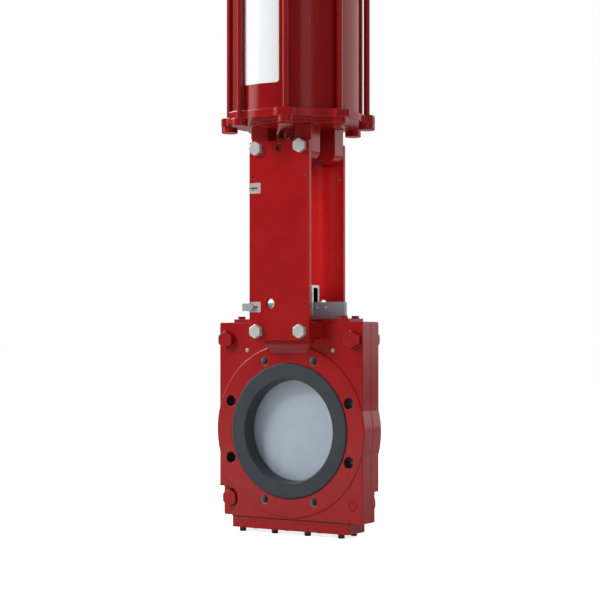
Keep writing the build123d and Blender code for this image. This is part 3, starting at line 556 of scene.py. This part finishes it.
# Filled fluoroplastic strip of the piston guide: brown and waxy.
FILLED_PLASTIC = Finish(
    name="skived_filled_fluoroplastic", shade="#6F5235", lit="#83623F", roughness=0.5, patch_mm=9.0,
    speck_mm=0.7, relief_mm=0.01, grain=Grain.TURNED,
)

# Vinyl film of the barrel label: smooth white under a clear laminate, left bare.
LABEL_VINYL = Finish(
    name="laminated_vinyl_film", shade="#FAFDFE", lit="#FDFEFF", roughness=0.25, patch_mm=50.0,
    speck_mm=4.0, relief_mm=0.006, coat=0.6, gloss_play=0.02,
)

# Printed polyester stickers beside the pointer's two end places.
STICKER_FILM = TickedFilm(
    name="printed_polyester_film", shade="#B3AAA6", lit="#BDB4AF", roughness=0.4, patch_mm=12.0,
    speck_mm=1.5, relief_mm=0.006,
    ticks=(
        Tick(-66.6, -49.0, 474.0, 1.4),
        Tick(-62.0, -56.0, 469.6, 0.7),
        Tick(-66.6, -48.0, 242.0, 1.4),
        Tick(-62.0, -56.0, 237.6, 0.7),
    ),
)


# Threads

@dataclass(frozen=True)
class Thread:
    """The ridge of a screw thread: the radii of its foot and crest, its pitch and its turns.

    The foot fills full_part of the pitch, and steps is the number of facets in a turn.
    """

    foot_mm: float
    crest_mm: float
    pitch_mm: float
    turns: int
    steps: int = 24
    full_part: float = 0.86

    def model(self, name: str) -> bpy.types.Object:
        """Winds the three-sided ridge round +Z from Z = 0, closed at both ends.

        Args:
            name: the name of the new piece.

        Returns:
            The piece, at the origin.
        """
        inwards = self.crest_mm < self.foot_mm
        side = 1.0 if inwards else -1.0
        reach = abs(self.crest_mm - self.foot_mm) * MM / TRIANGLE_DEPTH
        centre = (self.crest_mm * MM + side * reach, 0.0, self.pitch_mm / 2 * MM)
        height = TRIANGLE_SIDE * reach
        bpy.ops.object.select_all(action="DESELECT")
        bpy.ops.mesh.primitive_circle_add(
            vertices=3, radius=reach, location=centre,
            rotation=(math.radians(90.0), math.radians(-90.0 * side), 0.0),
        )
        ridge = bpy.context.object
        ridge.name = name
        bpy.ops.object.transform_apply(location=True, rotation=True, scale=True)
        bpy.ops.object.mode_set(mode="EDIT")
        bpy.ops.mesh.select_all(action="SELECT")
        bpy.ops.transform.resize(
            value=(1.0, 1.0, self.full_part * self.pitch_mm * MM / height),
            center_override=centre,
        )
        bpy.ops.object.mode_set(mode="OBJECT")
        winding = ridge.modifiers.new("winding", "SCREW")
        winding.axis = "Z"
        winding.screw_offset = self.pitch_mm * MM
        winding.iterations = self.turns
        winding.steps = self.steps
        winding.render_steps = self.steps
        bpy.ops.object.modifier_apply(modifier=winding.name)
        bpy.ops.object.mode_set(mode="EDIT")
        bpy.ops.mesh.select_all(action="SELECT")
        bpy.ops.mesh.fill_holes(sides=3)
        bpy.ops.mesh.select_all(action="SELECT")
        bpy.ops.mesh.normals_make_consistent(inside=False)
        bpy.ops.object.mode_set(mode="OBJECT")
        bpy.ops.object.shade_smooth_by_angle(angle=math.radians(SMOOTH_DEG))
        return ridge


def placed_copies(model: bpy.types.Object, places: list[Matrix]) -> list[bpy.types.Object]:
    """Puts a piece at its first place and copies of it at the others, each with its own mesh.

    Args:
        model: the piece, modelled at the origin.
        places: where each copy goes.

    Returns:
        All pieces, their objects at the origin.
    """
    pieces = [model]
    for number in range(1, len(places)):
        piece = model.copy()
        piece.data = model.data.copy()
        piece.name = f"{model.name}_{number + 1}"
        bpy.context.scene.collection.objects.link(piece)
        pieces.append(piece)
    for piece, place in zip(pieces, places):
        piece.data.transform(place)
    return pieces


def along_y(x_mm: float, y_mm: float, z_mm: float, towards: int) -> Matrix:
    """Where a piece modelled along +Z goes to run along Y.

    Args:
        x_mm: its start along X.
        y_mm: its start along Y.
        z_mm: its start along Z.
        towards: 1 for +Y, -1 for -Y.

    Returns:
        The place as a matrix.
    """
    turned = Matrix.Rotation(math.radians(-90.0 * towards), 4, "X")
    return Matrix.Translation((x_mm * MM, y_mm * MM, z_mm * MM)) @ turned


# Sub-assemblies

Outfit = tuple[tuple[Finish, tuple[str, ...]], ...]


@dataclass
class SubAssembly:
    """Nodes of the frame that go together on one body, with the pieces that are added to them."""

    body: str = "valve"
    outfit: Outfit = ()

    def dress(self, nodes: dict[str, bpy.types.Object]) -> None:
        """Gives each of its nodes its finish.

        Args:
            nodes: the frame's objects by name.
        """
        for finish, names in self.outfit:
            for name in names:
                slots = nodes[name].data.materials
                slots.clear()
                slots.append(finish.material())
            log.info("%s on %s", finish.name, ", ".join(names))

    def model(self) -> None:
        """Adds nothing: a sub-assembly with pieces of its own makes them here."""

    def add(self, pieces: list[bpy.types.Object], finish: Finish, slot: str) -> None:
        """Finishes new pieces and lets them ride on the body.

        Args:
            pieces: the new pieces.
            finish: what they are made of.
            slot: the record's material slot; not used.
        """
        for piece in pieces:
            piece.data.materials.clear()
            piece.data.materials.append(finish.material())
            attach(piece, self.body)
            log.info("piece %s", piece.name)


@dataclass
class BodyCastings(SubAssembly):
    """The two cast halves, the bolts that clamp them and the threads in their flange holes."""

    outfit: Outfit = (
        (CASTING_ENAMEL, ("front_body_half", "rear_body_half")),
        (FASTENER_ENAMEL, ("upper_body_bolts", "upper_body_nuts", "lower_body_bolts")),
        (MOULDED_PLUG, ("port_plugs",)),
    )
    hole_x_mm: float = 56.446
    hole_z_mm: float = 136.272
    thread_start_mm: float = 32.6
    thread: Thread = Thread(foot_mm=8.85, crest_mm=8.0, pitch_mm=2.5, turns=8)

    def model(self) -> None:
        """Cuts the threads of the eight blind flange holes, four in each face."""
        places = [
            along_y(x, y, z, 1 if y < 0 else -1)
            for y in (-self.thread_start_mm, self.thread_start_mm)
            for x in (-self.hole_x_mm, self.hole_x_mm)
            for z in (-self.hole_z_mm, self.hole_z_mm)
        ]
        ridges = placed_copies(self.thread.model("flange_thread"), places)
        self.add(ridges, CUT_IRON, "stiffener_steel")


@dataclass
class Sleeves(SubAssembly):
    """The rubber sleeves and the steel rings in their grooves."""

    outfit: Outfit = (
        (MOULDED_RUBBER, ("front_sleeve", "rear_sleeve")),
        (ROLLED_STEEL, ("front_sleeve_ring", "rear_sleeve_ring")),
    )


@dataclass
class GlandAndCover(SubAssembly):
    """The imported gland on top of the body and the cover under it."""

    outfit: Outfit = (
        (FASTENER_ENAMEL, ("gland_plate", "gland_screws", "bottom_cover")),
        (BRAIDED_PACKING, ("gland_packing",)),
        (GASKET_SHEET, ("bottom_gasket",)),
        (BLACK_OXIDE, ("bottom_screws",)),
    )


@dataclass
class GateTrain(SubAssembly):
    """All that moves: the gate, its clevis and pointer, the rod and the piston."""

    body: str = "gate_assembly"
    outfit: Outfit = (
        (ROLLED_STAINLESS, ("gate",)),
        (BLACK_OXIDE, ("clevis_spacers",)),
        (CLEVIS_PLATE, ("gate_clevis",)),
        (ZINC_PLATE, (
            "clevis_bolts", "clevis_nuts", "pointer_screws", "rod_lock_nut", "piston_nut",
        )),
        (BENT_STAINLESS, ("pointer_bracket",)),
        (HARD_CHROME, ("piston_rod",)),
        (TURNED_ALUMINIUM, ("piston",)),
        (SEAL_RUBBER, ("piston_seal",)),
        (FILLED_PLASTIC, ("piston_guide_ring",)),
    )


@dataclass
class Yoke(SubAssembly):
    """The two plates between body and cylinder, their bolts and the pointer's stickers."""

    outfit: Outfit = (
        (PLATE_ENAMEL, ("front_yoke_plate", "rear_yoke_plate")),
        (ZINC_PLATE, ("yoke_lower_bolts", "yoke_upper_bolts")),
        (STICKER_FILM, ("position_stickers",)),
    )


@dataclass
class Cylinder(SubAssembly):
    """The cylinder: caps, barrel, tie rods with their threads, rod gland, air ports and label."""

    outfit: Outfit = (
        (CASTING_ENAMEL, ("lower_end_cap", "upper_end_cap", "yoke_feet")),
        (TUBE_ENAMEL, ("cylinder_barrel", "tie_rods")),
        (ZINC_PLATE, ("tie_rod_washers", "tie_rod_nuts")),
        (TURNED_BRONZE, ("rod_bushing",)),
        (SEAL_RUBBER, ("rod_wiper", "rod_seal", "barrel_seals")),
        (LABEL_VINYL, ("name_label",)),
    )
    rod_circle_mm: float = 137.0
    rod_count: int = 8
    rod_thread: Thread = Thread(foot_mm=5.95, crest_mm=6.3, pitch_mm=1.75, turns=2)
    rod_tip_turns: float = 1.5
    port_heights_mm: tuple[float, ...] = (608.4, 916.0)
    port_start_mm: float = 140.2
    port_thread: Thread = Thread(foot_mm=6.0, crest_mm=5.4, pitch_mm=1.34, turns=9)

    def model(self) -> None:
        """Cuts the threads that stand above the tie rod nuts and those of the two air ports."""
        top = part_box("tie_rods")[1][2]
        turns_down = self.rod_thread.turns + self.rod_tip_turns
        start = top - turns_down * self.rod_thread.pitch_mm * MM
        places = []
        for number in range(self.rod_count):
            angle = math.radians((number + 0.5) * 360.0 / self.rod_count)
            x = self.rod_circle_mm * MM * math.cos(angle)
            y = self.rod_circle_mm * MM * math.sin(angle)
            places.append(Matrix.Translation((x, y, start)))
        ridges = placed_copies(self.rod_thread.model("tie_rod_thread"), places)
        self.add(ridges, ZINC_PLATE, "zinc_plate")
        places = [along_y(0.0, self.port_start_mm, z_mm, -1) for z_mm in self.port_heights_mm]
        ridges = placed_copies(self.port_thread.model("port_thread"), places)
        self.add(ridges, CUT_IRON, "stiffener_steel")


# View and studio

@dataclass
class PhotographView:
    """The camera at the photograph's place, with its long lens."""

    place_m: tuple[float, float, float] = (1.6143, -2.5688, 0.1781)
    turn_deg: float = 32.062
    lens_mm: float = 92.30
    sensor_mm: float = 36.0
    rise: float = 0.0664
    near_m: float = 0.05
    far_m: float = 60.0

    def build(self) -> None:
        """Makes the camera and gives it to the scene."""
        data = bpy.data.cameras.new("photograph_view")
        data.sensor_width = self.sensor_mm
        data.lens = self.lens_mm
        data.shift_y = self.rise
        data.clip_start = self.near_m
        data.clip_end = self.far_m
        camera = bpy.data.objects.new("photograph_view", data)
        camera.location = self.place_m
        camera.rotation_euler = (math.radians(90.0), 0.0, math.radians(self.turn_deg))
        bpy.context.scene.collection.objects.link(camera)
        bpy.context.scene.camera = camera


def straight_rays(tree: Tree) -> Socket:
    """Tells which rays see the white background as it is: the camera's, and those through glass.

    Args:
        tree: the tree of the world or of a material.

    Returns:
        1 for such rays, 0 for the others.
    """
    path = add_node(tree, "ShaderNodeLightPath").outputs
    return add_node(
        tree, "ShaderNodeMath", {"operation": "MAXIMUM"},
        {0: path["Is Camera Ray"], 1: path["Is Transmission Ray"]},
    ).outputs[0]


@dataclass(frozen=True)
class SoftPanel:
    """A white panel that gloss mirrors: azimuth 0 is the front, 90 the right."""

    azimuth_deg: float
    half_deg: float
    level: float
    low_deg: float = -30.0
    high_deg: float = 75.0
    fade_deg: float = 5.0

    def shine(self, tree: Tree, level_part: Socket, height: Socket) -> Socket:
        """Makes the panel's light as a direction sees it.

        Args:
            tree: the world's tree.
            level_part: the direction with its height taken out, one long.
            height: the sine of the direction's elevation.

        Returns:
            The panel's level there.
        """
        angle = math.radians(self.azimuth_deg)
        middle = (math.sin(angle), -math.cos(angle), 0.0)
        across = add_node(
            tree, "ShaderNodeVectorMath", {"operation": "DOT_PRODUCT", 1: middle}, {0: level_part}
        ).outputs["Value"]
        shine = add_node(
            tree, "ShaderNodeMapRange",
            {
                "interpolation_type": "SMOOTHSTEP",
                "From Min": math.cos(math.radians(self.half_deg + self.fade_deg)),
                "From Max": math.cos(math.radians(max(self.half_deg - self.fade_deg, 0.0))),
                "To Max": self.level,
            },
            {"Value": across},
        ).outputs["Result"]
        for edge_deg, side in ((self.low_deg, 1.0), (self.high_deg, -1.0)):
            within = add_node(
                tree, "ShaderNodeMapRange",
                {
                    "interpolation_type": "SMOOTHSTEP",
                    "From Min": math.sin(math.radians(edge_deg - side * self.fade_deg)),
                    "From Max": math.sin(math.radians(edge_deg + side * self.fade_deg)),
                },
                {"Value": height},
            ).outputs["Result"]
            shine = add_node(
                tree, "ShaderNodeMath", {"operation": "MULTIPLY"}, {0: shine, 1: within}
            ).outputs[0]
        return shine


@dataclass(frozen=True)
class Lamp:
    """An area light that gloss doesn't mirror: its place, its aim, its size and its beam."""

    name: str
    azimuth_deg: float
    elevation_deg: float
    power_w: float
    shape: str = "ELLIPSE"
    distance_m: float = 4.0
    width_m: float = 1.2
    height_m: float = 1.2
    beam_deg: float = 180.0
    aim_m: tuple[float, float, float] = (0.0, 0.0, 0.35)

    def build(self) -> None:
        """Hangs the lamp and turns it to its aim."""
        azimuth = math.radians(self.azimuth_deg)
        elevation = math.radians(self.elevation_deg)
        towards = Vector((
            math.sin(azimuth) * math.cos(elevation),
            -math.cos(azimuth) * math.cos(elevation),
            math.sin(elevation),
        ))
        data = bpy.data.lights.new(self.name, "AREA")
        data.shape = self.shape
        data.size = self.width_m
        data.size_y = self.height_m
        data.spread = math.radians(self.beam_deg)
        data.energy = self.power_w
        lamp = bpy.data.objects.new(self.name, data)
        lamp.location = Vector(self.aim_m) + towards * self.distance_m
        lamp.rotation_euler = towards.to_track_quat("Z", "Y").to_euler()
        lamp.visible_glossy = False
        lamp.visible_camera = False
        bpy.context.scene.collection.objects.link(lamp)


@dataclass
class Studio:
    """A white room: floor, panels that gloss mirrors, a soft fill and the lamps."""

    floor_z_m: float = -0.2036
    floor_size_m: float = 60.0
    floor_shade: str = "#E6E6E6"
    floor_lift: float = 0.82
    fill_below: float = 0.05
    fill_above: float = 0.26
    fill_span: tuple[float, float] = (-0.3, 0.5)
    gloss_level: float = 0.12
    panels: tuple[SoftPanel, ...] = (
        SoftPanel(azimuth_deg=-58.0, half_deg=10.0, level=2.3, fade_deg=9.0),
        SoftPanel(azimuth_deg=47.0, half_deg=8.0, level=0.55),
        SoftPanel(azimuth_deg=146.0, half_deg=30.0, level=1.2, fade_deg=12.0),
        SoftPanel(
            azimuth_deg=-98.0, half_deg=32.0, level=8.0, low_deg=17.0, high_deg=50.0, fade_deg=3.0
        ),
    )
    lamps: tuple[Lamp, ...] = (
        Lamp(name="key_lamp", azimuth_deg=-42.0, elevation_deg=32.0, power_w=116.0),
        Lamp(name="right_lamp", azimuth_deg=62.0, elevation_deg=20.0, power_w=18.0),
        Lamp(name="back_lamp", azimuth_deg=168.0, elevation_deg=28.0, power_w=62.0),
        Lamp(
            name="strip_lamp", azimuth_deg=37.0, elevation_deg=4.0, power_w=0.045,
            shape="RECTANGLE", distance_m=1.2, width_m=0.08, height_m=0.26, beam_deg=4.0,
            aim_m=(0.032, 0.061, 0.395),
        ),
    )

    def build(self) -> None:
        """Builds the whole studio and sets how the picture is shown."""
        bpy.context.scene.view_settings.view_transform = "Standard"
        self.build_world()
        self.build_floor()
        for lamp in self.lamps:
            lamp.build()

    def build_world(self) -> None:
        """Makes the surroundings: white to straight rays, panels to gloss, a fill to the rest."""
        world = bpy.data.worlds.new("white_studio")
        bpy.context.scene.world = world
        world.use_nodes = True
        tree = world.node_tree
        tree.nodes.clear()
        direction = add_node(tree, "ShaderNodeTexCoord").outputs["Generated"]
        height = add_node(tree, "ShaderNodeSeparateXYZ", links={"Vector": direction}).outputs["Z"]
        flat = add_node(
            tree, "ShaderNodeVectorMath",
            {"operation": "MULTIPLY", 1: (1.0, 1.0, 0.0)}, {0: direction},
        ).outputs[0]
        level_part = add_node(
            tree, "ShaderNodeVectorMath", {"operation": "NORMALIZE"}, {0: flat}
        ).outputs[0]
        total = add_node(tree, "ShaderNodeValue").outputs[0]
        total.default_value = self.gloss_level
        for panel in self.panels:
            shine = panel.shine(tree, level_part, height)
            total = add_node(
                tree, "ShaderNodeMath", {"operation": "ADD"}, {0: total, 1: shine}
            ).outputs[0]
        fill = add_node(
            tree, "ShaderNodeMapRange",
            {
                "From Min": self.fill_span[0],
                "From Max": self.fill_span[1],
                "To Min": self.fill_below,
                "To Max": self.fill_above,
            },
            {"Value": height},
        ).outputs["Result"]
        glossy = add_node(tree, "ShaderNodeLightPath").outputs["Is Glossy Ray"]
        mirrored = add_node(
            tree, "ShaderNodeMix", {"data_type": "FLOAT"}, {0: glossy, 2: fill, 3: total}
        ).outputs[0]
        shown = add_node(
            tree, "ShaderNodeMix", {"data_type": "FLOAT", 3: 1.0},
            {0: straight_rays(tree), 2: mirrored},
        ).outputs[0]
        background = add_node(
            tree, "ShaderNodeBackground", {"Color": linear("#FFFFFF")}, {"Strength": shown}
        )
        add_node(tree, "ShaderNodeOutputWorld", links={"Surface": background.outputs[0]})

    def build_floor(self) -> None:
        """Lays the white floor, which keeps a faint shadow of the object."""
        bpy.ops.object.select_all(action="DESELECT")
        bpy.ops.mesh.primitive_plane_add(
            size=self.floor_size_m, location=(0.0, 0.0, self.floor_z_m)
        )
        floor = bpy.context.object
        floor.name = "studio_floor"
        material = bpy.data.materials.new("white_painted_floor")
        material.use_nodes = True
        tree = material.node_tree
        tree.nodes.clear()
        diffuse = add_node(
            tree, "ShaderNodeBsdfDiffuse", {"Color": linear(self.floor_shade)}
        ).outputs[0]
        lift = add_node(
            tree, "ShaderNodeMath", {"operation": "MULTIPLY", 1: self.floor_lift},
            {0: straight_rays(tree)},
        ).outputs[0]
        glow = add_node(tree, "ShaderNodeEmission", links={"Strength": lift}).outputs[0]
        both = add_node(tree, "ShaderNodeAddShader", links={0: diffuse, 1: glow}).outputs[0]
        add_node(tree, "ShaderNodeOutputMaterial", links={"Surface": both})
        floor.data.materials.append(material)


def main() -> None:
    """Builds the view, the studio and each sub-assembly in order."""
    logging.basicConfig(level=logging.INFO, format="%(name)s: %(message)s")
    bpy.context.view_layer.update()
    PhotographView().build()
    Studio().build()
    for assembly in (BodyCastings(), Sleeves(), GlandAndCover(), GateTrain(), Yoke(), Cylinder()):
        assembly.model()
        assembly.dress(frame["nodes"])


if __name__ == "__main__":
    main()
